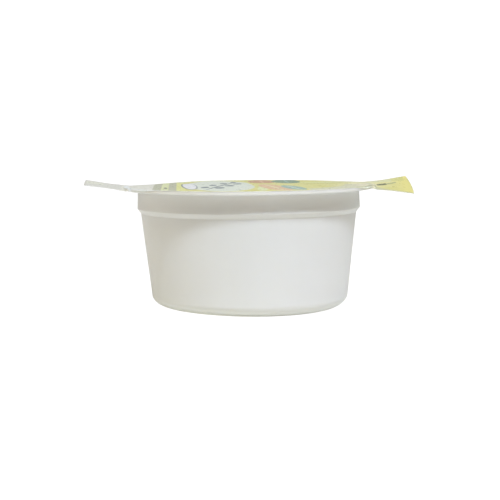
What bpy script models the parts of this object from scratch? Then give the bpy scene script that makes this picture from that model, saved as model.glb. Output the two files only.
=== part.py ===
"""Sealed portion control cup: a shallow white plastic cup and its peel-off film lid with two pull tabs.

Units are metres, +Z is up. The origin is on the cup's axis, in the plane that it stands on.
The camera side of the cup faces -Y, and the pull tabs reach out nearly along X.
The cup is shut, so its contents and its shell are one solid.
"""

import math

import bmesh
import bpy
from mathutils import Matrix, Vector

# Heights
LID_TOP = 0.0380
STACK = 0.00095  # from the lid's top face down to the flange's underside
FILM = 0.00022
SEAT_GAP = 0.0003
FLANGE_TOP = LID_TOP - FILM - SEAT_GAP
FLANGE_UNDERSIDE = LID_TOP - STACK
BAND_BOTTOM = LID_TOP - 0.0066
STEP_BOTTOM = LID_TOP - 0.0081
HEEL_RISE = 0.0038
BASE_RECESS = 0.0008

# Radii
LID_RADIUS = 0.0390
FLANGE_RADIUS = 0.0387
BAND_TOP_RADIUS = 0.0350
BAND_BOTTOM_RADIUS = 0.0352
STEP_RADIUS = 0.0341
WALL_FOOT_RADIUS = 0.0311
HEEL_RUN = 0.0057
FOOT_RING = 0.0030
RECESS_SLOPE = 0.0008

# Roundings of the turned profile
FLANGE_EDGE = 0.0002
UNDER_FLANGE = 0.0004
BAND_EDGE = 0.0006
STEP_HOLLOW = 0.0005
CORNER_STEPS = 3
HEEL_STEPS = 7

# The circle is divided so that the tabs' root fillets start on a division.
TURN_STEPS = 90
ROOT_STEPS = 5

# Lid
LID_TURN = math.radians(5.5)
SEAL_INNER_RADIUS = 0.0345
LID_CROWN = 0.0003
LID_RINGS = 5
TAB_HALF_WIDTH = 0.0067
TAB_BEND = 0.0010  # the film leaves the flange's level over this distance
FILLET_STEPS = 6
STRAIGHT_STEPS = 4

# Each tab: which end of the lid, its reach from the axis, its lift at the tip, and its twist and
# the droop of its edges, both at the root and at the tip
RIGHT_TAB = {
    "side": 1,
    "reach": 0.0522,
    "lift": -0.0005,
    "twist": (math.radians(4.5), math.radians(22.5)),
    "droop": (0.00064, 0.00005),
}
LEFT_TAB = {
    "side": -1,
    "reach": 0.0513,
    "lift": 0.0016,
    "twist": (math.radians(2.9), math.radians(5.0)),
    "droop": (0.00037, 0.00008),
}

# Colours are linear.
WHITE_PLASTIC = {"name": "white_plastic", "color": (0.76, 0.77, 0.73), "roughness": 0.42}
PRINTED_FILM = {"name": "printed_film", "color": (0.80, 0.72, 0.28), "roughness": 0.38}


def clear_scene():
    for obj in list(bpy.data.objects):
        bpy.data.objects.remove(obj, do_unlink=True)


def new_collection(name):
    collection = bpy.data.collections.new(name)
    bpy.context.scene.collection.children.link(collection)
    return collection


def plain_material(look):
    """A Principled material with the given colour and roughness."""
    material = bpy.data.materials.new(look["name"])
    material.use_nodes = True
    shader = material.node_tree.nodes["Principled BSDF"]
    shader.inputs["Base Color"].default_value = (*look["color"], 1.0)
    shader.inputs["Roughness"].default_value = look["roughness"]
    shader.inputs["Metallic"].default_value = 0.0
    return material


def add_object(bm, name, collection, look):
    mesh = bpy.data.meshes.new(name)
    bm.to_mesh(mesh)
    bm.free()
    obj = bpy.data.objects.new(name, mesh)
    obj.data.materials.append(plain_material(look))
    collection.objects.link(obj)
    return obj


def rounded_corner(before, corner, after, radius):
    """The points of an arc of this radius that replaces the corner between two straight runs."""
    to_before = (before - corner).normalized()
    to_after = (after - corner).normalized()
    half = to_before.angle(to_after) / 2
    start = corner + to_before * (radius / math.tan(half))
    end = corner + to_after * (radius / math.tan(half))
    centre = corner + (to_before + to_after).normalized() * (radius / math.sin(half))
    first = start - centre
    sweep = first.angle(end - centre)
    across = ((end - centre) - first * math.cos(sweep)) / math.sin(sweep)
    angles = [sweep * k / CORNER_STEPS for k in range(CORNER_STEPS + 1)]
    return [centre + first * math.cos(a) + across * math.sin(a) for a in angles]


def with_rounded_corners(corners):
    """The outline through (radius, height, rounding) corners, with each rounding above 0 as an arc."""
    spots = [Vector((r, z)) for r, z, _ in corners]
    outline = [spots[0]]
    for i in range(1, len(corners) - 1):
        rounding = corners[i][2]
        if rounding > 0:
            outline += rounded_corner(spots[i - 1], spots[i], spots[i + 1], rounding)
        else:
            outline.append(spots[i])
    outline.append(spots[-1])
    return outline


def heel_points():
    """The rounded heel between the wall and the foot, a quarter of an ellipse."""
    points = []
    for k in range(1, HEEL_STEPS + 1):
        angle = math.pi / 2 * k / HEEL_STEPS
        r = WALL_FOOT_RADIUS - HEEL_RUN * (1 - math.cos(angle))
        z = HEEL_RISE * (1 - math.sin(angle))
        points.append(Vector((r, z)))
    return points


def base_points():
    """The underside: a flat foot ring round a shallow recessed panel."""
    foot_inner = WALL_FOOT_RADIUS - HEEL_RUN - FOOT_RING
    panel_radius = foot_inner - RECESS_SLOPE
    return [
        Vector((foot_inner, 0.0)),
        Vector((panel_radius, BASE_RECESS)),
        Vector((0.0, BASE_RECESS)),
    ]


def cup_profile():
    """Half of the cup's section, from the middle of the top over the flange and down to the base."""
    upper = with_rounded_corners(
        [
            (0.0, FLANGE_TOP, 0.0),
            (FLANGE_RADIUS, FLANGE_TOP, FLANGE_EDGE),
            (FLANGE_RADIUS, FLANGE_UNDERSIDE, FLANGE_EDGE),
            (BAND_TOP_RADIUS, FLANGE_UNDERSIDE, UNDER_FLANGE),
            (BAND_BOTTOM_RADIUS, BAND_BOTTOM, BAND_EDGE),
            (STEP_RADIUS, STEP_BOTTOM, STEP_HOLLOW),
            (WALL_FOOT_RADIUS, HEEL_RISE, 0.0),
        ]
    )
    return upper + heel_points() + base_points()


def make_cup(collection):
    """Flange, sealing band, step, tapered wall and foot, turned from one profile."""
    bm = bmesh.new()
    verts = [bm.verts.new((p.x, 0.0, p.y)) for p in cup_profile()]
    for a, b in zip(verts, verts[1:]):
        bm.edges.new((a, b))
    cup = add_object(bm, "cup", collection, WHITE_PLASTIC)
    screw = cup.modifiers.new("turn", "SCREW")
    screw.axis = "Z"
    screw.angle = math.tau
    screw.steps = TURN_STEPS
    screw.render_steps = TURN_STEPS
    screw.use_merge_vertices = True
    screw.merge_threshold = 1e-6
    screw.use_smooth_shade = True
    return cup


def smooth_step(t):
    t = min(max(t, 0.0), 1.0)
    return t * t * (3 - 2 * t)


def between(pair, t):
    return pair[0] + (pair[1] - pair[0]) * t


def crown_height(radius):
    """The film bulges a little inside the seal and lies level on the flange."""
    share = min(radius / SEAL_INNER_RADIUS, 1.0)
    return LID_CROWN * (1 - share * share) ** 2


def add_disc(bm):
    """The round middle of the lid, spun from a radial line of points."""
    radii = [SEAL_INNER_RADIUS * k / LID_RINGS for k in range(LID_RINGS + 1)] + [LID_RADIUS]
    verts = [bm.verts.new((r, 0.0, crown_height(r))) for r in radii]
    edges = [bm.edges.new(pair) for pair in zip(verts, verts[1:])]
    bmesh.ops.spin(
        bm,
        geom=verts + edges,
        cent=(0, 0, 0),
        axis=(0, 0, 1),
        angle=math.tau,
        steps=TURN_STEPS,
        use_merge=True,
        use_duplicate=False,
    )


def root_angle():
    return math.tau * ROOT_STEPS / TURN_STEPS


def tab_side(reach):
    """One side of a tab in plan, as (distance out, half width): a fillet off the disc, then straight."""
    sine = math.sin(root_angle())
    fillet = (LID_RADIUS * sine - TAB_HALF_WIDTH) / (1 - sine)
    fillet_end = (LID_RADIUS + fillet) * math.cos(root_angle())
    side = []
    for k in range(FILLET_STEPS + 1):
        angle = between((root_angle(), math.pi / 2), k / FILLET_STEPS)
        out = fillet_end - fillet * math.cos(angle)
        half_width = TAB_HALF_WIDTH + fillet * (1 - math.sin(angle))
        side.append((out, half_width))
    for k in range(1, STRAIGHT_STEPS + 1):
        side.append((between((fillet_end, reach), k / STRAIGHT_STEPS), TAB_HALF_WIDTH))
    return side


def shaped_tab_point(tab, out, across, half_width):
    """A point of the flat tab moved to where the bent and twisted tab has it."""
    leave = smooth_step((math.hypot(out, across) - LID_RADIUS) / TAB_BEND)
    along = min(max((out - LID_RADIUS) / (tab["reach"] - LID_RADIUS), 0.0), 1.0)
    twist = leave * between(tab["twist"], along)
    droop = leave * between(tab["droop"], along) * (across / half_width) ** 2
    height = leave * tab["lift"] * along + across * math.sin(twist) - droop
    return Vector((tab["side"] * out, across * math.cos(twist), height))


def add_tab(bm, tab):
    """A pull tab: a grid laid between the disc's edge and the tab's straight end."""
    side = tab_side(tab["reach"])
    rows = len(side) - 1
    grid = bmesh.ops.create_grid(bm, x_segments=rows, y_segments=2 * ROOT_STEPS, size=1.0)
    for vert in grid["verts"]:
        row = round((vert.co.x + 1) / 2 * rows)
        angle = vert.co.y * root_angle()
        out, half_width = side[row]
        bulge = (1 - row / rows) ** 2 * LID_RADIUS * (math.cos(angle) - math.cos(root_angle()))
        across = half_width * math.sin(angle) / math.sin(root_angle())
        vert.co = shaped_tab_point(tab, out + bulge, across, half_width)


def face_up(bm):
    """Turns the sheet's faces so that all of them look up."""
    bmesh.ops.recalc_face_normals(bm, faces=bm.faces[:])
    if sum(face.normal.z for face in bm.faces) < 0:
        bmesh.ops.reverse_faces(bm, faces=bm.faces[:])


def make_lid(collection):
    """The film lid: a crowned disc and two pull tabs in one sheet, thickened downwards."""
    bm = bmesh.new()
    add_disc(bm)
    for tab in (RIGHT_TAB, LEFT_TAB):
        add_tab(bm, tab)
    bmesh.ops.remove_doubles(bm, verts=bm.verts[:], dist=1e-6)
    face_up(bm)
    place = Matrix.Translation((0, 0, LID_TOP)) @ Matrix.Rotation(LID_TURN, 4, "Z")
    bmesh.ops.transform(bm, matrix=place, verts=bm.verts[:])
    for face in bm.faces:
        face.smooth = True
    lid = add_object(bm, "lid", collection, PRINTED_FILM)
    film = lid.modifiers.new("film", "SOLIDIFY")
    film.thickness = FILM
    film.offset = -1
    return lid


def main():
    clear_scene()
    collection = new_collection("portion_cup")
    make_cup(collection)
    make_lid(collection)


main()
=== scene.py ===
"""Looks of the sealed portion control cup: a white plastic cup and its printed film lid.

Units are metres, in the frame of the CAD model: the origin is on the cup's axis in the plane that
it stands on, +Z is up, and the camera looks along +Y.
"""

import math

import bmesh
import bpy
from mathutils import Matrix, Vector, noise


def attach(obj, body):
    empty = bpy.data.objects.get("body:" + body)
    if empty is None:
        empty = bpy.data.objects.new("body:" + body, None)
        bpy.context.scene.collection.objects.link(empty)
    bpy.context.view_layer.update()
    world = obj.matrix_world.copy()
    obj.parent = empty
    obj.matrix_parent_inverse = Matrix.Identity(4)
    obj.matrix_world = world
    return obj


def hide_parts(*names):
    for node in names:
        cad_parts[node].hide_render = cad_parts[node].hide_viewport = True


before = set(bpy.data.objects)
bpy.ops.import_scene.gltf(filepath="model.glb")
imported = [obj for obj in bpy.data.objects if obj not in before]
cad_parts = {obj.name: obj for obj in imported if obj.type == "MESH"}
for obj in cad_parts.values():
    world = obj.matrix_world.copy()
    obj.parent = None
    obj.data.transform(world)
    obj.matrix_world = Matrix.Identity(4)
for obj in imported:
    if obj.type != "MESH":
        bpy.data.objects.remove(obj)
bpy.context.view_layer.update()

MM = 0.001

# Driving dimensions: the CAD model's, finely adjusted to the photograph's outline
LID_TOP = 38.0 * MM
FLANGE_UNDERSIDE = LID_TOP - 1.12 * MM
BAND_BOTTOM = LID_TOP - 6.9 * MM
STEP_BOTTOM = LID_TOP - 8.35 * MM
HEEL_RISE = 3.9 * MM
BASE_RECESS = 0.8 * MM
LID_RADIUS = 38.99 * MM
FLANGE_RADIUS = 38.94 * MM
BAND_TOP_RADIUS = 35.0 * MM
BAND_BOTTOM_RADIUS = 35.2 * MM
STEP_RADIUS = 34.1 * MM
WALL_FOOT_RADIUS = 31.15 * MM
HEEL_RUN = 5.6 * MM
FOOT_RADIUS = WALL_FOOT_RADIUS - HEEL_RUN
FOOT_RING = 3.0 * MM
SEAL_INNER_RADIUS = 34.5 * MM

# The real film is thin and lies on the flange.
FILM = 0.11 * MM
SEAT_GAP = 0.01 * MM
FLANGE_TOP = LID_TOP - FILM - SEAT_GAP

# Roundings of the turned profile
FLANGE_EDGE = 0.12 * MM
FLANGE_LOWER_EDGE = 0.3 * MM
UNDER_FLANGE = 0.5 * MM
BAND_EDGE = 0.45 * MM
STEP_HOLLOW = 0.2 * MM
FOOT_EDGE = 0.3 * MM

# A low ring and the gate mark stand down from the underside's panel, with sloping sides.
MOULD_RING_OUTER = 12.0 * MM
MOULD_RING_INNER = 10.4 * MM
MOULD_RING_STANDS = 0.2 * MM
GATE_RADIUS = 1.6 * MM
GATE_SIDE_STANDS = 0.45 * MM
GATE_STANDS = 0.5 * MM
UNDERSIDE_SLOPE = 0.4 * MM

# The lid's plan. Each tab has its reach from the axis, the bulge of its end, the distance over which
# it bends off the disc, its lift at the tip, its twist and droop at the root and at the tip, the
# azimuth where the film in front of its root stops hanging, and how far it hangs, as a share.
LID_TURN = math.radians(5.5)
LID_CROWN = 0.3 * MM
ROOT_ANGLE = math.radians(20)
TAB_HALF_WIDTH = 6.7 * MM
RIGHT_TAB = {
    "side": 1,
    "reach": 52.15 * MM,
    "bulge": 0.4 * MM,
    "bend": 1.8 * MM,
    "lift": -0.48 * MM,
    "twist": (math.radians(4.5), math.radians(22.45)),
    "droop": (0.64 * MM, 0.05 * MM),
    "hang_ends": -12.5,
    "hang": 1.0,
}
LEFT_TAB = {
    "side": -1,
    "reach": 51.3 * MM,
    "bulge": 0.2 * MM,
    "bend": 1.0 * MM,
    "lift": 1.59 * MM,
    "twist": (math.radians(2.9), math.radians(4.95)),
    "droop": (0.37 * MM, 0.08 * MM),
    "hang_ends": -14.4,
    "hang": 0.85,
}

# The rim isn't quite level: azimuth from the right towards the back, rise and half width of each swell
RIM_SWELLS = ((146.0, -0.4 * MM, 36.0), (20.0, 0.12 * MM, 18.0))
SWELL_FROM = 20 * MM
SWELL_GROWS_OVER = 15 * MM
SWELL_FADES_OVER = 3 * MM

# The wall sways a little between the heel and the step.
WALL_SWAY = 0.07 * MM
SWAYS_PER_METRE = 38
SWAY_FROM = 5 * MM
SWAY_CLEAR_OF_STEP = 1 * MM
SWAY_FADES_OVER = 6 * MM

# The base isn't quite round: where the heel is tightest and by how much, the lower wall's offset to
# the right and its widening, and the middle of the underside, which keeps its shape
HEEL_TIGHT_AT = math.radians(-47)
HEEL_TIGHTER = 1.7 * MM
BASE_SHIFT = 0.2 * MM
BASE_WIDER = 0.06 * MM
BASE_MIDDLE = 5 * MM
BASE_WIDER_FROM = 20 * MM

# A fine ripple in the film, inside its seal
RIPPLE = 0.05 * MM
RIPPLES_PER_METRE = 60
RIPPLE_FADES_FROM = 33.0 * MM
RIPPLE_FADES_OVER = 2.0 * MM

# How far the film hangs out and down in front of the tabs' roots, and where that starts. Azimuths are
# in degrees from the tab's own axis, negative towards the camera. The disc's last ring but one stops
# short of where the flange ends, so that the hem turns down there. It is all the way out where the
# film hangs by one part in RING_MOVES_SOONER.
HANG_OUT = 0.3 * MM
HANG_DOWN = 0.92 * MM
HANG_STARTS = -42.0
HANG_GROWS_OVER = 14.0
HANG_FADES_OVER = 3.6
RING_MOVES_SOONER = 4
RING_STOPS_SHORT = 0.03 * MM

# Camera, from the fit to the photograph's outline
CAMERA_DISTANCE = 0.3644
CAMERA_ABOVE_RIM = math.radians(2.639)
CAMERA_PITCH = math.radians(5.878)
CAMERA_YAW = math.radians(0.047)
CAMERA_ROLL = math.radians(0.538)
FOCAL_PIXELS = 1146.0
FRAME_PIXELS = 500
SENSOR = 36.0

# Mesh fineness
CUP_STEPS = 288
CORNER_STEPS = 6
HEEL_STEPS = 14
LONGEST_RUN = 1.5 * MM
LID_STEPS = 360
LID_ROOT_STEPS = 20
LID_RINGS = 40
FILLET_STEPS = 24
STRAIGHT_STEPS = 14
WELD = 1e-6  # points closer than this become one


def smooth_step(t):
    t = min(max(t, 0.0), 1.0)
    return t * t * (3 - 2 * t)


def between(pair, t):
    return pair[0] + (pair[1] - pair[0]) * t


# Camera and light


def make_camera():
    data = bpy.data.cameras.new("camera")
    data.sensor_width = SENSOR
    data.lens = FOCAL_PIXELS / FRAME_PIXELS * SENSOR
    data.clip_start = 0.01
    data.clip_end = 50
    camera = bpy.data.objects.new("camera", data)
    bpy.context.scene.collection.objects.link(camera)
    back = CAMERA_DISTANCE * math.cos(CAMERA_ABOVE_RIM)
    up = CAMERA_DISTANCE * math.sin(CAMERA_ABOVE_RIM)
    place = Vector((0, -back, LID_TOP + up))
    camera.matrix_world = (
        Matrix.Translation(place)
        @ Matrix.Rotation(-CAMERA_YAW, 4, "Z")
        @ Matrix.Rotation(math.pi / 2 - CAMERA_PITCH, 4, "X")
        @ Matrix.Rotation(-CAMERA_ROLL, 4, "Z")
    )
    bpy.context.scene.camera = camera


AIM = Vector((0, 0, 0.025))
LAMP_DISTANCE = 0.9
# Round lamps: azimuth (0 is the camera's side, 90 the right), elevation and radius as seen from the
# object, in degrees, then brightness in red, green and blue
LAMPS = {
    "key": (17, 55, 4, (168, 186, 218)),
    "left_high": (-50, 60, 14, (3.6, 3.3, 2.5)),
    "right_high": (60, 60, 14, (2.7, 2.28, 2.98)),
    "left_low": (-90, 14, 13, (2.32, 1.9, 1.48)),
    "left_sheen": (-115, 5, 4, (8.0, 7.6, 6.6)),
    "right_low": (90, 14, 13, (0.85, 0.5, 0.16)),
    "front_low": (0, 8, 8, (2.4, 1.1, 0.2)),
    "back_right": (135, 15, 14, (1.9, 2.3, 2.3)),
    "back_left": (225, 15, 14, (1.0, 0.75, 0.85)),
    "back_wall": (180, 20, 18, (0.76, 0.76, 0.76)),
}


def make_lamp(name, azimuth, elevation, radius, brightness):
    data = bpy.data.lights.new(name, "AREA")
    data.shape = "DISK"
    data.size = 2 * LAMP_DISTANCE * math.tan(math.radians(radius))
    strongest = max(brightness)
    # A lamp's power is its brightness times its area times pi.
    data.energy = strongest * math.pi * math.pi * (data.size / 2) ** 2
    data.color = [part / strongest for part in brightness]
    lamp = bpy.data.objects.new(name, data)
    a, e = math.radians(azimuth), math.radians(elevation)
    out = Vector((math.sin(a) * math.cos(e), -math.cos(a) * math.cos(e), math.sin(e)))
    lamp.location = AIM + out * LAMP_DISTANCE
    lamp.rotation_mode = "QUATERNION"
    lamp.rotation_quaternion = out.to_track_quat("Z", "Y")
    lamp.visible_camera = False
    bpy.context.scene.collection.objects.link(lamp)


ROOM_LIGHT = 0.0
SEEN_WHITE = 1.1
TABLE_WHITE = (0.70, 0.70, 0.625)
TABLE_GLOW = (0.19, 0.19, 0.178)
# The table glows this many times stronger right under the cup. The change lies between two radii.
GLOW_UNDER_CUP = 4.4
GLOW_BEGINS = 28.5 * MM
GLOW_FULL = 26.5 * MM
TABLE_RADIUS = 3.0
TABLE_GAP = 0.02 * MM


def make_backdrop():
    """A white backdrop to the camera. It gives the object no light: the lamps and the table do."""
    world = bpy.data.worlds.new("room")
    bpy.context.scene.world = world
    world.use_nodes = True
    nodes, links = world.node_tree.nodes, world.node_tree.links
    nodes.clear()
    out = nodes.new("ShaderNodeOutputWorld")
    path = nodes.new("ShaderNodeLightPath")
    bright = nodes.new("ShaderNodeBackground")
    bright.inputs["Color"].default_value = (1, 1, 1, 1)
    strength = nodes.new("ShaderNodeMapRange")
    strength.inputs["To Min"].default_value = ROOM_LIGHT
    strength.inputs["To Max"].default_value = SEEN_WHITE
    links.new(path.outputs["Is Camera Ray"], strength.inputs["Value"])
    links.new(strength.outputs["Result"], bright.inputs["Strength"])
    links.new(bright.outputs[0], out.inputs["Surface"])


def table_glow_strength(nodes, links):
    """The glow's strength: 1 out on the table, more under the cup."""
    away = nodes.new("ShaderNodeVectorMath")
    away.operation = "LENGTH"
    links.new(nodes.new("ShaderNodeTexCoord").outputs["Object"], away.inputs[0])
    under = nodes.new("ShaderNodeMapRange")
    under.inputs["From Min"].default_value = GLOW_BEGINS
    under.inputs["From Max"].default_value = GLOW_FULL
    under.inputs["To Min"].default_value = 1.0
    under.inputs["To Max"].default_value = GLOW_UNDER_CUP
    links.new(away.outputs["Value"], under.inputs["Value"])
    return under.outputs["Result"]


def table_top():
    """White that throws light back and glows a little. The camera sees it as plain white."""
    material = bpy.data.materials.new("table_top")
    material.use_nodes = True
    nodes, links = material.node_tree.nodes, material.node_tree.links
    nodes.clear()
    out = nodes.new("ShaderNodeOutputMaterial")
    path = nodes.new("ShaderNodeLightPath")
    mix = nodes.new("ShaderNodeMixShader")
    matt = nodes.new("ShaderNodeBsdfDiffuse")
    matt.inputs["Color"].default_value = (*TABLE_WHITE, 1)
    glow = nodes.new("ShaderNodeEmission")
    glow.inputs["Color"].default_value = (*TABLE_GLOW, 1)
    links.new(table_glow_strength(nodes, links), glow.inputs["Strength"])
    lit = nodes.new("ShaderNodeAddShader")
    links.new(matt.outputs[0], lit.inputs[0])
    links.new(glow.outputs[0], lit.inputs[1])
    seen = nodes.new("ShaderNodeEmission")
    seen.inputs["Strength"].default_value = SEEN_WHITE
    links.new(path.outputs["Is Camera Ray"], mix.inputs[0])
    links.new(lit.outputs[0], mix.inputs[1])
    links.new(seen.outputs[0], mix.inputs[2])
    links.new(mix.outputs[0], out.inputs["Surface"])
    return material


def make_floor():
    bm = bmesh.new()
    bmesh.ops.create_circle(bm, cap_ends=True, segments=96, radius=TABLE_RADIUS)
    mesh = bpy.data.meshes.new("floor")
    bm.to_mesh(mesh)
    bm.free()
    mesh.materials.append(table_top())
    floor = bpy.data.objects.new("floor", mesh)
    floor.location.z = -TABLE_GAP
    bpy.context.scene.collection.objects.link(floor)


# Shader helpers


class Painter:
    """Builds a material's nodes from short expressions. A value is a number or a socket."""

    def __init__(self, name):
        self.material = bpy.data.materials.new(name)
        self.material.use_nodes = True
        self.tree = self.material.node_tree
        self.shader = self.tree.nodes["Principled BSDF"]

    def node(self, kind, **settings):
        made = self.tree.nodes.new(kind)
        for key, value in settings.items():
            setattr(made, key, value)
        return made

    def put(self, value, socket):
        if isinstance(value, bpy.types.NodeSocket):
            self.tree.links.new(value, socket)
        else:
            socket.default_value = value

    def math(self, operation, *values, clamp=False):
        made = self.node("ShaderNodeMath", operation=operation, use_clamp=clamp)
        for value, socket in zip(values, made.inputs):
            self.put(value, socket)
        return made.outputs[0]

    def coordinates(self, turn=0.0):
        """The object's own coordinates in millimetres, turned about Z."""
        source = self.node("ShaderNodeTexCoord").outputs["Object"]
        mapping = self.node("ShaderNodeMapping")
        mapping.inputs["Rotation"].default_value = (0, 0, turn)
        mapping.inputs["Scale"].default_value = (1 / MM, 1 / MM, 1 / MM)
        self.tree.links.new(source, mapping.inputs["Vector"])
        return mapping.outputs[0]

    def split(self, vector):
        made = self.node("ShaderNodeSeparateXYZ")
        self.tree.links.new(vector, made.inputs[0])
        return made.outputs[0], made.outputs[1], made.outputs[2]

    def join(self, x, y, z):
        made = self.node("ShaderNodeCombineXYZ")
        for value, socket in zip((x, y, z), made.inputs):
            self.put(value, socket)
        return made.outputs[0]

    def noise(self, vector, scale, detail):
        made = self.node("ShaderNodeTexNoise")
        self.tree.links.new(vector, made.inputs["Vector"])
        made.inputs["Scale"].default_value = scale
        made.inputs["Detail"].default_value = detail
        return made.outputs["Fac"]

    def ranged(self, value, low, high, to_low=0.0, to_high=1.0):
        """The value's place between low and high, as a number from to_low to to_high."""
        made = self.node("ShaderNodeMapRange")
        self.put(value, made.inputs["Value"])
        made.inputs["From Min"].default_value = low
        made.inputs["From Max"].default_value = high
        made.inputs["To Min"].default_value = to_low
        made.inputs["To Max"].default_value = to_high
        return made.outputs["Result"]

    def mix(self, factor, first, second):
        """The second colour over the first one, by the factor."""
        made = self.node("ShaderNodeMix", data_type="RGBA")
        self.put(factor, made.inputs["Factor"])
        for value, socket in ((first, made.inputs["A"]), (second, made.inputs["B"])):
            colour = [s for s in made.inputs if s.identifier == f"{socket.name}_Color"][0]
            self.put((*value, 1.0) if isinstance(value, tuple) else value, colour)
        return [s for s in made.outputs if s.identifier == "Result_Color"][0]

    def bump(self, height, strength, distance, under=None):
        made = self.node("ShaderNodeBump")
        made.inputs["Strength"].default_value = strength
        made.inputs["Distance"].default_value = distance
        self.tree.links.new(height, made.inputs["Height"])
        if under is not None:
            self.tree.links.new(under, made.inputs["Normal"])
        return made.outputs[0]


class Print(Painter):
    """A painter that works on a flat print, in millimetres along (u) and across (v) the lid."""

    EDGE = 0.25  # softness of a printed edge
    BANDS_AT = 31.0  # how far to the left of the axis the bands begin
    BANDS_LEAN = 0.035  # how much further right their edges are for each mm towards the back

    def __init__(self, name):
        super().__init__(name)
        self.place = self.coordinates(turn=-LID_TURN)
        self.u, self.v, _ = self.split(self.place)
        squares = self.math("MULTIPLY_ADD", self.u, self.u, self.math("MULTIPLY", self.v, self.v))
        self.radius = self.math("SQRT", squares)

    def inside(self, distance):
        """1 where the distance is below 0, 0 where it is above, with a soft edge."""
        return self.math("MULTIPLY_ADD", distance, -1 / self.EDGE, 0.5, clamp=True)

    def ellipse(self, u, v, half_u, half_v, lean=0.0):
        """Distance to an ellipse. With a lean, it slopes by that much of u for each v."""
        off_v = self.math("SUBTRACT", self.v, v)
        off_u = self.math("SUBTRACT", self.u, u)
        if lean:
            off_u = self.math("MULTIPLY_ADD", off_v, -lean, off_u)
        a = self.math("DIVIDE", off_u, half_u)
        b = self.math("DIVIDE", off_v, half_v)
        squares = self.math("MULTIPLY_ADD", a, a, self.math("MULTIPLY", b, b))
        return self.math("MULTIPLY", self.math("SUBTRACT", self.math("SQRT", squares), 1.0), half_u)

    def bands_place(self):
        """Distance along the lid from where the bands begin."""
        upright = self.math("MULTIPLY_ADD", self.v, -self.BANDS_LEAN, self.u)
        return self.math("ADD", upright, self.BANDS_AT)

    def near_side(self, v):
        """Distance to all that is nearer than this place across the lid."""
        return self.math("SUBTRACT", self.v, v)

    def far_side(self, v):
        """Distance to all that is farther than this place across the lid."""
        return self.math("SUBTRACT", v, self.v)

    def beyond(self, radius):
        """Distance to all that is outside this radius."""
        return self.math("SUBTRACT", radius, self.radius)

    def stripe(self, value, low, high):
        """Distance to the stretch where the value is between low and high."""
        off = self.math("ABSOLUTE", self.math("SUBTRACT", value, (low + high) / 2))
        return self.math("SUBTRACT", off, (high - low) / 2)

    def both(self, *distances):
        """Distance to the part that all of them share."""
        found = distances[0]
        for more in distances[1:]:
            found = self.math("MAXIMUM", found, more)
        return found


# Materials


# The darker and the lighter shade of the plastic, the flange's painted highlight (a lighter, warmer
# tint that stands in for light on its edge), the heights in mm between which that comes in, and how
# much the flow marks' noise is slowed along the height
PLASTIC_SHADES = ((0.70, 0.70, 0.665), (0.73, 0.73, 0.70))
FLANGE_PAINTED_HIGHLIGHT = (0.77, 0.76, 0.69)
PAINTED_HIGHLIGHT_HEIGHTS = (37.0, 37.3)
FLOW_SLOWED = 0.08


def white_plastic():
    p = Painter("white_plastic")
    place = p.coordinates()
    x, y, z = p.split(place)
    colour = p.mix(p.noise(place, scale=0.05, detail=3), *PLASTIC_SHADES)
    # Painted highlight: above this height the flange is lighter and warmer, standing in for light on
    # its edge.
    flange_highlight = p.ranged(z, *PAINTED_HIGHLIGHT_HEIGHTS)
    p.put(p.mix(flange_highlight, colour, FLANGE_PAINTED_HIGHLIGHT), p.shader.inputs["Base Color"])
    fine = p.noise(place, scale=0.9, detail=3)
    p.put(p.ranged(fine, 0.3, 0.7, 0.34, 0.46), p.shader.inputs["Roughness"])
    p.shader.inputs["IOR"].default_value = 1.49
    p.shader.inputs["Subsurface Weight"].default_value = 0.35
    p.shader.inputs["Subsurface Radius"].default_value = (1.0, 0.95, 0.8)
    p.shader.inputs["Subsurface Scale"].default_value = 2.0 * MM
    # Flow marks run down the wall, and a fine grain covers all of it.
    stretched = p.join(x, y, p.math("MULTIPLY", z, FLOW_SLOWED))
    flow = p.noise(stretched, scale=0.5, detail=2)
    grain = p.noise(place, scale=2.4, detail=2)
    under = p.bump(flow, strength=0.25, distance=0.05 * MM)
    finish = p.bump(grain, strength=0.06, distance=0.02 * MM, under=under)
    p.put(finish, p.shader.inputs["Normal"])
    return p.material


# Inks
LEMON = (0.56, 0.53, 0.05)
PALE_LEMON = (0.70, 0.66, 0.34)
BRIGHT_YELLOW = (0.64, 0.64, 0.15)
DEEP_LEMON = (0.47, 0.45, 0.04)
YELLOW_GREEN = (0.61, 0.65, 0.28)
OLIVE_GREY = (0.37, 0.38, 0.22)
SILVER = (0.58, 0.57, 0.47)
PALE_SILVER = (0.65, 0.64, 0.51)
PALE_BLUE = (0.59, 0.64, 0.50)
WHITE_INK = (0.69, 0.70, 0.67)
SLATE = (0.05, 0.09, 0.10)
ORANGE = (0.42, 0.18, 0.03)
PEACH = (0.60, 0.38, 0.16)
DARK_GREEN = (0.06, 0.17, 0.05)
TEAL = (0.18, 0.34, 0.26)
DARK_OLIVE = (0.12, 0.13, 0.03)
UNPRINTED = (0.56, 0.55, 0.31)
SILVER_MARGIN = (0.73, 0.76, 0.70)
# Painted light: the hem's inks are paler than the margin's, to make up for the shade on the hanging
# hem.
SILVER_HEM_PAINTED_LIGHT = (0.76, 0.79, 0.74)
PALE_HEM_PAINTED_LIGHT = (0.64, 0.63, 0.45)
TIP_GLOW = (0.62, 0.62, 0.47)
# Painted shade: darker lemons on the right tab's far half and far tip.
PAINTED_SHADE_LEMON = (0.60, 0.60, 0.29)
PAINTED_SHADE_TIP_LEMON = (0.60, 0.58, 0.22)
TIP_LEMON = (0.71, 0.65, 0.24)
NECK_BEIGE = (0.67, 0.63, 0.38)
OLIVE_INK = (0.40, 0.41, 0.18)

# The film's unprinted margin and the hem that hangs over the flange's edge: radii in mm
MARGIN_INNER = 38.0
HEM_INNER = 38.97
HEM_OUTER = LID_RADIUS / MM + 0.35

# The mark on the right tab: a place on its middle line, and how far that goes back for each mm along
MARK_FROM = (40.0, -2.6)
MARK_LEAN = 0.55

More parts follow.
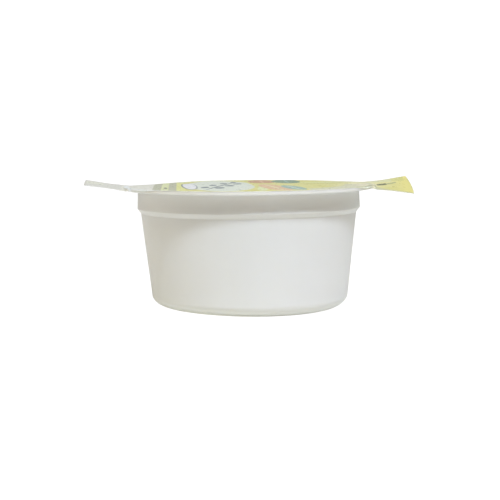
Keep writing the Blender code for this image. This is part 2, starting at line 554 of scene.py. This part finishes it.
# Leaves of the sprig: place along and across the lid, then half size along and across, in mm
SPRIG_LEAVES = [
    (-14.6, -14.0, 1.3, 3.6),
    (-10.4, -18.0, 1.5, 3.4),
    (-11.4, -2.0, 1.2, 3.6),
    (-6.6, -7.0, 1.5, 3.4),
    (-7.4, 8.0, 1.2, 3.8),
    (-3.2, 4.0, 1.4, 3.8),
    (-3.4, 18.0, 1.0, 4.0),
]


def background_bands(p):
    """Silver up to a paler tip at the left, slim bands, and a yellow-green far rim."""
    place = p.bands_place()
    tip_glow = p.both(p.stripe(p.u, -51.0, -45.5), p.stripe(p.v, -1.5, 4.2))
    far_rim = p.both(p.stripe(p.u, -21.0, 2.5), p.far_side(0.0), p.beyond(34.6))
    return [
        (p.math("SUBTRACT", place, 1.2), SILVER),
        (p.stripe(place, -9.0, 1.2), PALE_SILVER),
        (tip_glow, TIP_GLOW),
        (p.stripe(place, 1.0, 3.6), OLIVE_GREY),
        (p.stripe(place, 3.6, 5.8), YELLOW_GREEN),
        (p.stripe(place, 5.8, 8.2), OLIVE_GREY),
        (p.stripe(place, 8.2, 10.8), BRIGHT_YELLOW),
        (far_rim, YELLOW_GREEN),
    ]


def blue_panel(p):
    """A pale field with a leaning sprig of small dark leaves, and a white lens beside it."""
    field = p.both(p.ellipse(-9.4, -1.0, 11.0, 34.5), p.stripe(p.u, -20.0, 0.6))
    layers = [
        (field, PALE_BLUE),
        (p.ellipse(-19.0, -4.0, 2.4, 20.0), SLATE),
        (p.ellipse(-18.9, -3.2, 2.0, 19.0), WHITE_INK),
        (p.ellipse(-8.6, -4.0, 0.55, 23.0, lean=0.29), SLATE),
    ]
    for u, v, half_u, half_v in SPRIG_LEAVES:
        layers.append((p.ellipse(u, v, half_u, half_v, lean=0.1), SLATE))
    return layers


def petals_and_leaves(p):
    """Petals and leaves, four of them with a vein, and a pale margin along the near right rim."""
    near_margin = p.both(p.beyond(30.5), p.stripe(p.u, 15.0, 37.5), p.near_side(-2.0))
    return [
        (p.ellipse(2.0, -24.0, 1.6, 12.0, lean=0.10), YELLOW_GREEN),
        (p.ellipse(6.4, 21.0, 4.6, 15.0, lean=0.05), ORANGE),
        (p.ellipse(6.2, -19.0, 3.7, 17.0, lean=-0.10), PEACH),
        (p.ellipse(14.6, 21.0, 4.8, 16.0, lean=0.07), DARK_GREEN),
        (p.ellipse(11.6, -21.0, 2.8, 12.0, lean=-0.10), TEAL),
        (p.ellipse(25.0, 12.0, 7.0, 2.6, lean=1.0), YELLOW_GREEN),
        (p.ellipse(25.0, 5.0, 9.0, 2.4, lean=0.6), DEEP_LEMON),
        (p.ellipse(14.8, 21.0, 0.4, 14.0, lean=0.07), TEAL),
        (p.ellipse(6.4, 21.0, 0.4, 13.0, lean=0.05), PEACH),
        (p.ellipse(6.2, -19.0, 0.4, 14.0, lean=-0.10), PALE_LEMON),
        (p.ellipse(11.6, -21.0, 0.35, 10.0, lean=-0.10), PALE_BLUE),
        (near_margin, UNPRINTED),
    ]


def tab_marks(p):
    """Painted shade on the right tab's far half and far tip, a slim dark mark on the tab, its pale
    near edge, and a short stroke beside the bands."""
    along = p.math("SUBTRACT", p.u, MARK_FROM[0])
    line = p.math("MULTIPLY_ADD", along, MARK_LEAN, MARK_FROM[1])
    off_line = p.math("ABSOLUTE", p.math("SUBTRACT", p.v, line))
    arrow = p.both(p.math("SUBTRACT", off_line, 1.05), p.stripe(p.u, 41.0, 44.4))
    tail = p.both(p.math("SUBTRACT", off_line, 0.6), p.stripe(p.u, 43.6, 48.0))
    neck = p.both(p.stripe(p.u, 33.0, 40.4), p.near_side(-0.5))
    near_edge = p.both(p.stripe(p.u, 39.0, 53.0), p.near_side(-5.8))
    # Painted shade: the tab's far half and far tip are darker.
    painted_shade_far_half = p.both(p.stripe(p.u, 39.5, 47.0), p.stripe(p.v, 2.6, 9.0))
    painted_shade_far_tip = p.both(p.stripe(p.u, 47.0, 51.0), p.stripe(p.v, 3.0, 9.0))
    return [
        (painted_shade_far_half, PAINTED_SHADE_LEMON),
        (painted_shade_far_tip, PAINTED_SHADE_TIP_LEMON),
        (neck, NECK_BEIGE),
        (near_edge, UNPRINTED),
        (tail, OLIVE_INK),
        (arrow, DARK_OLIVE),
        (p.ellipse(-26.6, -14.0, 0.5, 5.0), DARK_OLIVE),
    ]


def printed_film():
    """The lid's print: lemon that pales to the right, the motifs, then the margin and the hem, whose
    paler inks are painted light.
    """
    p = Print("printed_film")
    cloud = p.noise(p.place, scale=0.06, detail=3)
    paling = p.ranged(p.u, 20.0, 36.0, to_high=0.65)
    pale = p.math("ADD", paling, p.ranged(cloud, 0.35, 0.65, -0.1, 0.3))
    colour = p.mix(pale, LEMON, PALE_LEMON)
    colour = p.mix(p.ranged(p.u, 45.5, 50.5), colour, TIP_LEMON)
    for distance, ink in background_bands(p) + blue_panel(p) + petals_and_leaves(p) + tab_marks(p):
        colour = p.mix(p.inside(distance), colour, ink)
    to_right = p.ranged(p.u, -30.0, -22.0)
    margin = p.stripe(p.radius, MARGIN_INNER, HEM_OUTER)
    colour = p.mix(p.inside(margin), colour, p.mix(to_right, SILVER_MARGIN, UNPRINTED))
    # Painted light: the hanging hem gets paler inks than the margin, to make up for its shade.
    hem = p.both(p.stripe(p.radius, HEM_INNER, HEM_OUTER), p.near_side(-9.5))
    colour = p.mix(p.inside(hem), colour, p.mix(to_right, SILVER_HEM_PAINTED_LIGHT, PALE_HEM_PAINTED_LIGHT))
    p.put(colour, p.shader.inputs["Base Color"])
    fine = p.noise(p.place, scale=0.6, detail=3)
    p.put(p.ranged(fine, 0.3, 0.7, 0.26, 0.38), p.shader.inputs["Roughness"])
    creases = p.noise(p.place, scale=0.35, detail=2)
    p.put(p.bump(creases, strength=0.2, distance=0.08 * MM), p.shader.inputs["Normal"])
    return p.material


FILM_SHADES = ((0.83, 0.83, 0.78), (0.86, 0.86, 0.81))


def plain_film():
    """The unprinted underside and the cut edge of the film."""
    p = Painter("plain_film")
    place = p.coordinates()
    cloud = p.noise(place, scale=0.12, detail=3)
    p.put(p.mix(cloud, *FILM_SHADES), p.shader.inputs["Base Color"])
    p.put(p.ranged(cloud, 0.3, 0.7, 0.28, 0.4), p.shader.inputs["Roughness"])
    creases = p.noise(place, scale=0.5, detail=2)
    p.put(p.bump(creases, strength=0.2, distance=0.05 * MM), p.shader.inputs["Normal"])
    return p.material


# Shapes


def add_piece(bm, name, node, materials):
    """A visible piece that stands in place of this node of the CAD model."""
    mesh = bpy.data.meshes.new(name)
    bm.to_mesh(mesh)
    bm.free()
    mesh.shade_smooth()
    for material in materials:
        mesh.materials.append(material)
    piece = bpy.data.objects.new(name, mesh)
    bpy.context.scene.collection.objects.link(piece)
    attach(piece, "root")
    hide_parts(node)
    return piece


def widen(vert, factor):
    """Moves the point away from the axis, to this many times its distance."""
    vert.co.x *= factor
    vert.co.y *= factor


def turn_outline(bm, outline, steps):
    """Turns a line of (radius, height) points once round the axis."""
    verts = [bm.verts.new((r, 0.0, z)) for r, z in outline]
    edges = [bm.edges.new(pair) for pair in zip(verts, verts[1:])]
    bmesh.ops.spin(
        bm,
        geom=verts + edges,
        cent=(0, 0, 0),
        axis=(0, 0, 1),
        angle=math.tau,
        steps=steps,
        use_merge=True,
    )


def rounded_corner(before, corner, after, radius):
    """The points of an arc of this radius that replaces the corner between two straight runs."""
    to_before = (before - corner).normalized()
    to_after = (after - corner).normalized()
    half = to_before.angle(to_after) / 2
    start = corner + to_before * (radius / math.tan(half))
    end = corner + to_after * (radius / math.tan(half))
    centre = corner + (to_before + to_after).normalized() * (radius / math.sin(half))
    first = start - centre
    sweep = first.angle(end - centre)
    across = ((end - centre) - first * math.cos(sweep)) / math.sin(sweep)
    angles = [sweep * k / CORNER_STEPS for k in range(CORNER_STEPS + 1)]
    return [centre + first * math.cos(a) + across * math.sin(a) for a in angles]


def with_rounded_corners(corners):
    """The outline through (radius, height, rounding) corners, with each rounding above 0 as an arc."""
    spots = [Vector((r, z)) for r, z, _ in corners]
    outline = [spots[0]]
    for i in range(1, len(corners) - 1):
        rounding = corners[i][2]
        if rounding > 0:
            outline += rounded_corner(spots[i - 1], spots[i], spots[i + 1], rounding)
        else:
            outline.append(spots[i])
    outline.append(spots[-1])
    return outline


def divided(outline, longest):
    """The outline with its long straight runs cut into shorter ones."""
    points = [outline[0]]
    for a, b in zip(outline, outline[1:]):
        parts = max(1, math.ceil((b - a).length / longest))
        points += [a.lerp(b, k / parts) for k in range(1, parts + 1)]
    return points


def heel_points():
    """The rounded heel between the wall and the foot, a quarter of an ellipse."""
    points = []
    for k in range(1, HEEL_STEPS + 1):
        angle = math.pi / 2 * k / HEEL_STEPS
        r = WALL_FOOT_RADIUS - HEEL_RUN * (1 - math.cos(angle))
        points.append(Vector((r, HEEL_RISE * (1 - math.sin(angle)))))
    return points


def base_points():
    """The underside: the foot ring, and a recessed panel with its low ring and gate mark."""
    foot_inner = FOOT_RADIUS - FOOT_RING
    base = with_rounded_corners(
        [
            (FOOT_RADIUS, 0.0, 0.0),
            (foot_inner, 0.0, FOOT_EDGE),
            (foot_inner - BASE_RECESS, BASE_RECESS, FOOT_EDGE),
            (MOULD_RING_OUTER, BASE_RECESS, 0.0),
            (MOULD_RING_OUTER - UNDERSIDE_SLOPE, BASE_RECESS - MOULD_RING_STANDS, 0.0),
            (MOULD_RING_INNER + UNDERSIDE_SLOPE, BASE_RECESS - MOULD_RING_STANDS, 0.0),
            (MOULD_RING_INNER, BASE_RECESS, 0.0),
            (GATE_RADIUS, BASE_RECESS, 0.0),
            (GATE_RADIUS - UNDERSIDE_SLOPE, BASE_RECESS - GATE_SIDE_STANDS, 0.0),
            (0.0, BASE_RECESS - GATE_STANDS, 0.0),
        ]
    )
    return base[1:]


def cup_profile():
    """Half of the cup's section, from the middle of the top over the flange and down to the base."""
    upper = with_rounded_corners(
        [
            (0.0, FLANGE_TOP, 0.0),
            (FLANGE_RADIUS, FLANGE_TOP, FLANGE_EDGE),
            (FLANGE_RADIUS, FLANGE_UNDERSIDE, FLANGE_LOWER_EDGE),
            (BAND_TOP_RADIUS, FLANGE_UNDERSIDE, UNDER_FLANGE),
            (BAND_BOTTOM_RADIUS, BAND_BOTTOM, BAND_EDGE),
            (STEP_RADIUS, STEP_BOTTOM, STEP_HOLLOW),
            (WALL_FOOT_RADIUS, HEEL_RISE, 0.0),
        ]
    )
    return divided(upper + heel_points() + base_points(), LONGEST_RUN)


def make_cup():
    """The moulded cup, turned from its profile, with the slight unevenness of a thin wall."""
    bm = bmesh.new()
    turn_outline(bm, cup_profile(), CUP_STEPS)
    bmesh.ops.remove_doubles(bm, verts=bm.verts[:], dist=WELD)
    for vert in bm.verts:
        near_top = smooth_step((vert.co.z - BAND_BOTTOM) / (FLANGE_UNDERSIDE - BAND_BOTTOM))
        vert.co.z += rim_swell(vert.co.x, vert.co.y) * near_top
        sway_wall(vert)
        shape_heel(vert)
        shift_base(vert)
    bmesh.ops.recalc_face_normals(bm, faces=bm.faces[:])
    add_piece(bm, "cup_shell", "cup", [white_plastic()])


def sway_wall(vert):
    """The wall sways in and out a little between the heel and the step."""
    out = math.hypot(vert.co.x, vert.co.y)
    if out > BASE_MIDDLE and SWAY_FROM < vert.co.z < STEP_BOTTOM - SWAY_CLEAR_OF_STEP:
        sway = noise.noise(vert.co * SWAYS_PER_METRE) * WALL_SWAY
        above_heel = smooth_step((vert.co.z - SWAY_FROM) / SWAY_FADES_OVER)
        below_step = smooth_step((STEP_BOTTOM - vert.co.z) / SWAY_FADES_OVER)
        widen(vert, 1 + sway * above_heel * below_step / out)


def shape_heel(vert):
    """The heel is tighter at the front right and the back left, and looser between them."""
    out = math.hypot(vert.co.x, vert.co.y)
    if vert.co.z < HEEL_RISE and out > BASE_MIDDLE:
        azimuth = math.atan2(vert.co.y, vert.co.x)
        change = HEEL_TIGHTER * math.cos(2 * (azimuth - HEEL_TIGHT_AT))
        if out > FOOT_RADIUS:
            share = (WALL_FOOT_RADIUS - out) / HEEL_RUN
        else:
            share = (out - BASE_MIDDLE) / (FOOT_RADIUS - BASE_MIDDLE)
        widen(vert, 1 + change * share / out)


def shift_base(vert):
    """The lower wall stands a little to the right and is a little wider."""
    if vert.co.z < STEP_BOTTOM:
        down = smooth_step((STEP_BOTTOM - vert.co.z) / STEP_BOTTOM)
        vert.co.x += down * BASE_SHIFT
        out = math.hypot(vert.co.x, vert.co.y)
        widen(vert, 1 + down * BASE_WIDER / max(out, BASE_WIDER_FROM))


def rim_swell(x, y):
    """How far the flange and the film on it stand above or below their level at this place."""
    azimuth = math.degrees(math.atan2(y, x))
    total = 0.0
    for centre, rise, half_width in RIM_SWELLS:
        off = (azimuth - centre + 180) % 360 - 180
        total += rise * smooth_step(1 - abs(off) / half_width)
    radius = math.hypot(x, y)
    grown = smooth_step((radius - SWELL_FROM) / SWELL_GROWS_OVER)
    left = 1 - smooth_step((radius - LID_RADIUS) / SWELL_FADES_OVER)
    return total * grown * left


def film_height(x, y):
    """The film bulges a little inside the seal, with a fine ripple in it."""
    radius = math.hypot(x, y)
    share = min(radius / SEAL_INNER_RADIUS, 1.0)
    crown = LID_CROWN * (1 - share * share) ** 2
    inside = 1 - smooth_step((radius - RIPPLE_FADES_FROM) / RIPPLE_FADES_OVER)
    ripple = noise.noise(Vector((x, y, 0)) * RIPPLES_PER_METRE) * RIPPLE
    return crown + inside * ripple


def add_disc(bm):
    """The round middle of the lid, turned from a radial line of points."""
    step = LID_RADIUS / LID_RINGS
    turn_outline(bm, [(step * k, 0.0) for k in range(LID_RINGS + 1)], LID_STEPS)
    for vert in bm.verts:
        vert.co.z = film_height(vert.co.x, vert.co.y)


def tab_side(reach):
    """One side of a tab in plan, from the disc out: a fillet, then straight. Each point is its
    distance from the axis and the half width there."""
    sine = math.sin(ROOT_ANGLE)
    fillet = (LID_RADIUS * sine - TAB_HALF_WIDTH) / (1 - sine)
    fillet_end = (LID_RADIUS + fillet) * math.cos(ROOT_ANGLE)
    side = []
    for k in range(FILLET_STEPS + 1):
        angle = between((ROOT_ANGLE, math.pi / 2), k / FILLET_STEPS)
        out = fillet_end - fillet * math.cos(angle)
        side.append((out, TAB_HALF_WIDTH + fillet * (1 - math.sin(angle))))
    for k in range(1, STRAIGHT_STEPS + 1):
        side.append((between((fillet_end, reach), k / STRAIGHT_STEPS), TAB_HALF_WIDTH))
    return side


def shaped_tab_point(tab, out, across, half_width):
    """A point of the flat tab moved to where the bent and twisted tab has it."""
    leave = smooth_step((math.hypot(out, across) - LID_RADIUS) / tab["bend"])
    along = min(max((out - LID_RADIUS) / (tab["reach"] - LID_RADIUS), 0.0), 1.0)
    out += tab["bulge"] * along**4 * (1 - (across / half_width) ** 2)
    twist = leave * between(tab["twist"], along)
    droop = leave * between(tab["droop"], along) * (across / half_width) ** 2
    height = leave * tab["lift"] * along + across * math.sin(twist) - droop
    return Vector((tab["side"] * out, across * math.cos(twist), height))


def add_tab(bm, tab):
    """A pull tab: a grid laid between the disc's edge and the tab's end."""
    side = tab_side(tab["reach"])
    rows = len(side) - 1
    grid = bmesh.ops.create_grid(bm, x_segments=rows, y_segments=2 * LID_ROOT_STEPS, size=1.0)
    for vert in grid["verts"]:
        row = round((vert.co.x + 1) / 2 * rows)
        angle = vert.co.y * ROOT_ANGLE
        out, half_width = side[row]
        # At the root the rows follow the disc's edge, and towards the tip they straighten.
        bulge = (1 - row / rows) ** 2 * LID_RADIUS * (math.cos(angle) - math.cos(ROOT_ANGLE))
        across = half_width * math.sin(angle) / math.sin(ROOT_ANGLE)
        vert.co = shaped_tab_point(tab, out + bulge, across, half_width)


def hang_share(x, y):
    """How far the film hangs over the flange's edge at this place on the disc's edge, from 0 to 1."""
    tab = RIGHT_TAB if x > 0 else LEFT_TAB
    azimuth = math.degrees(math.atan2(y, abs(x)))
    grown = smooth_step((azimuth - HANG_STARTS) / HANG_GROWS_OVER)
    left = smooth_step((tab["hang_ends"] - azimuth) / HANG_FADES_OVER)
    return grown * left * tab["hang"]


def hang_film(bm):
    """The film hangs over the flange's edge where each tab's near side leaves the disc."""
    step = LID_RADIUS / LID_RINGS
    just_inside_ring = LID_RADIUS - 1.3 * step
    just_inside_edge = LID_RADIUS - 0.5 * step
    for vert in bm.verts:
        radius = math.hypot(vert.co.x, vert.co.y)
        if radius < just_inside_ring:
            continue
        share = hang_share(vert.co.x, vert.co.y)
        if radius < just_inside_edge:
            out = min(share * RING_MOVES_SOONER, 1) * (step - RING_STOPS_SHORT)
        else:
            out = share * HANG_OUT
            vert.co.z -= share * HANG_DOWN
        widen(vert, 1 + out / radius)


def make_lid():
    """The film lid in one sheet: a crowned disc and two bent pull tabs."""
    bm = bmesh.new()
    add_disc(bm)
    for tab in (RIGHT_TAB, LEFT_TAB):
        add_tab(bm, tab)
    bmesh.ops.remove_doubles(bm, verts=bm.verts[:], dist=WELD)
    hang_film(bm)
    bmesh.ops.recalc_face_normals(bm, faces=bm.faces[:])
    if sum(face.normal.z for face in bm.faces) < 0:
        bmesh.ops.reverse_faces(bm, faces=bm.faces[:])
    place = Matrix.Translation((0, 0, LID_TOP)) @ Matrix.Rotation(LID_TURN, 4, "Z")
    bmesh.ops.transform(bm, matrix=place, verts=bm.verts[:])
    for vert in bm.verts:
        vert.co.z += rim_swell(vert.co.x, vert.co.y)
    lid = add_piece(bm, "lid_film", "lid", [printed_film(), plain_film()])
    film = lid.modifiers.new("film", "SOLIDIFY")
    film.thickness = FILM
    film.offset = -1
    film.material_offset = 1
    film.material_offset_rim = 1


bpy.context.scene.view_settings.view_transform = "Standard"
make_camera()
for name, settings in LAMPS.items():
    make_lamp(name, *settings)
make_backdrop()
make_floor()
make_cup()
make_lid()
